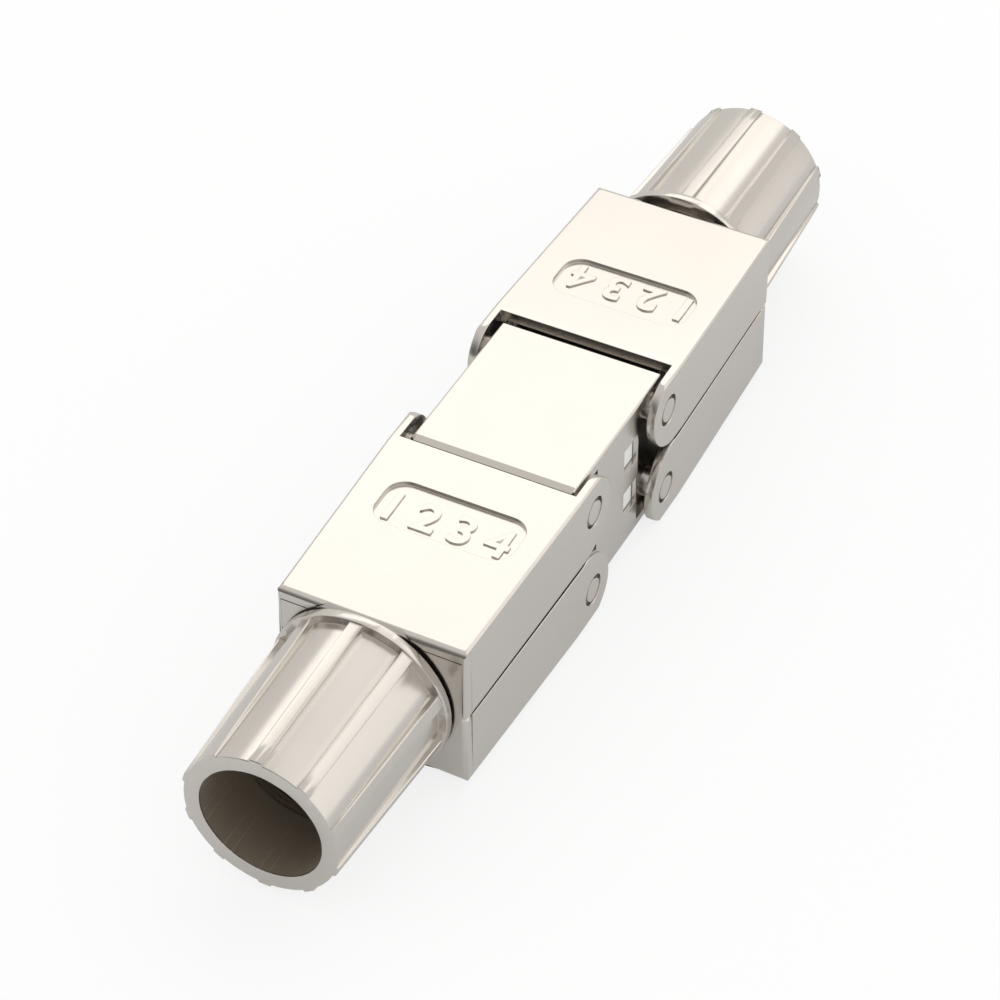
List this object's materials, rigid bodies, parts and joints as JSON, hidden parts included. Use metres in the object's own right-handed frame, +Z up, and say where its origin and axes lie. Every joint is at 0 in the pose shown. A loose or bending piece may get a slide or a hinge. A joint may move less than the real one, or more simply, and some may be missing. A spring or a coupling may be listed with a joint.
{
  "type": "rj45 inline coupler",
  "caption": "Metal inline coupler that joins two shielded network cables, with hinged doors above and below at each end and a ribbed, tapered nut around each cable.",
  "frame": {"origin": "at the middle of the body; the cable axis is parallel to X at y = 0.64 mm", "axes": "+X along the cable towards the far end, +Y across, +Z up through the upper doors"},
  "size_m": [0.0931, 0.018, 0.016],
  "materials": {
    "satin_nickel": "satin nickel plating on a zinc die casting",
    "board": "glass fibre circuit board with a green mask",
    "white_plastic": "moulded",
    "contact_metal": "tin plated bronze",
    "guide_plastic": "moulded"
  },
  "bodies": {
    "housing": {"centre_housing": "satin_nickel", "circuit_board": "board", "upper_carrier": "white_plastic", "lower_carrier": "white_plastic", "near_upper_contact_1": "contact_metal", "near_upper_contact_2": "contact_metal", "near_upper_contact_3": "contact_metal", "near_upper_contact_4": "contact_metal", "near_lower_contact_1": "contact_metal", "near_lower_contact_2": "contact_metal", "near_lower_contact_3": "contact_metal", "near_lower_contact_4": "contact_metal", "far_upper_contact_1": "contact_metal", "far_upper_contact_2": "contact_metal", "far_upper_contact_3": "contact_metal", "far_upper_contact_4": "contact_metal", "far_lower_contact_1": "contact_metal", "far_lower_contact_2": "contact_metal", "far_lower_contact_3": "contact_metal", "far_lower_contact_4": "contact_metal", "near_upper_wire_guide": "guide_plastic", "near_lower_wire_guide": "guide_plastic", "far_upper_wire_guide": "guide_plastic", "far_lower_wire_guide": "guide_plastic"},
    "near_upper_door": {"near_upper_door": "satin_nickel"},
    "near_lower_door": {"near_lower_door": "satin_nickel"},
    "far_upper_door": {"far_upper_door": "satin_nickel"},
    "far_lower_door": {"far_lower_door": "satin_nickel"},
    "near_nut": {"near_nut": "satin_nickel"},
    "far_nut": {"far_nut": "satin_nickel"}
  },
  "joints": [
    {"name": "near_upper_hinge", "type": "hinge", "parent": "housing", "child": "near_upper_door", "pos_m": [-0.0072, 0, 0.00447], "axis": [0, 1, 0], "range_deg": [0, 65]},
    {"name": "near_lower_hinge", "type": "hinge", "parent": "housing", "child": "near_lower_door", "pos_m": [-0.0072, 0, -0.00447], "axis": [0, -1, 0], "range_deg": [0, 65]},
    {"name": "far_upper_hinge", "type": "hinge", "parent": "housing", "child": "far_upper_door", "pos_m": [0.0072, 0, 0.00447], "axis": [0, -1, 0], "range_deg": [0, 65]},
    {"name": "far_lower_hinge", "type": "hinge", "parent": "housing", "child": "far_lower_door", "pos_m": [0.0072, 0, -0.00447], "axis": [0, 1, 0], "range_deg": [0, 65]},
    {"name": "near_nut_slide", "type": "slide", "parent": "near_lower_door", "child": "near_nut", "axis": [-1, 0, 0], "range_m": [0, 0.014]},
    {"name": "far_nut_slide", "type": "slide", "parent": "far_lower_door", "child": "far_nut", "axis": [1, 0, 0], "range_m": [0, 0.014]}
  ]
}
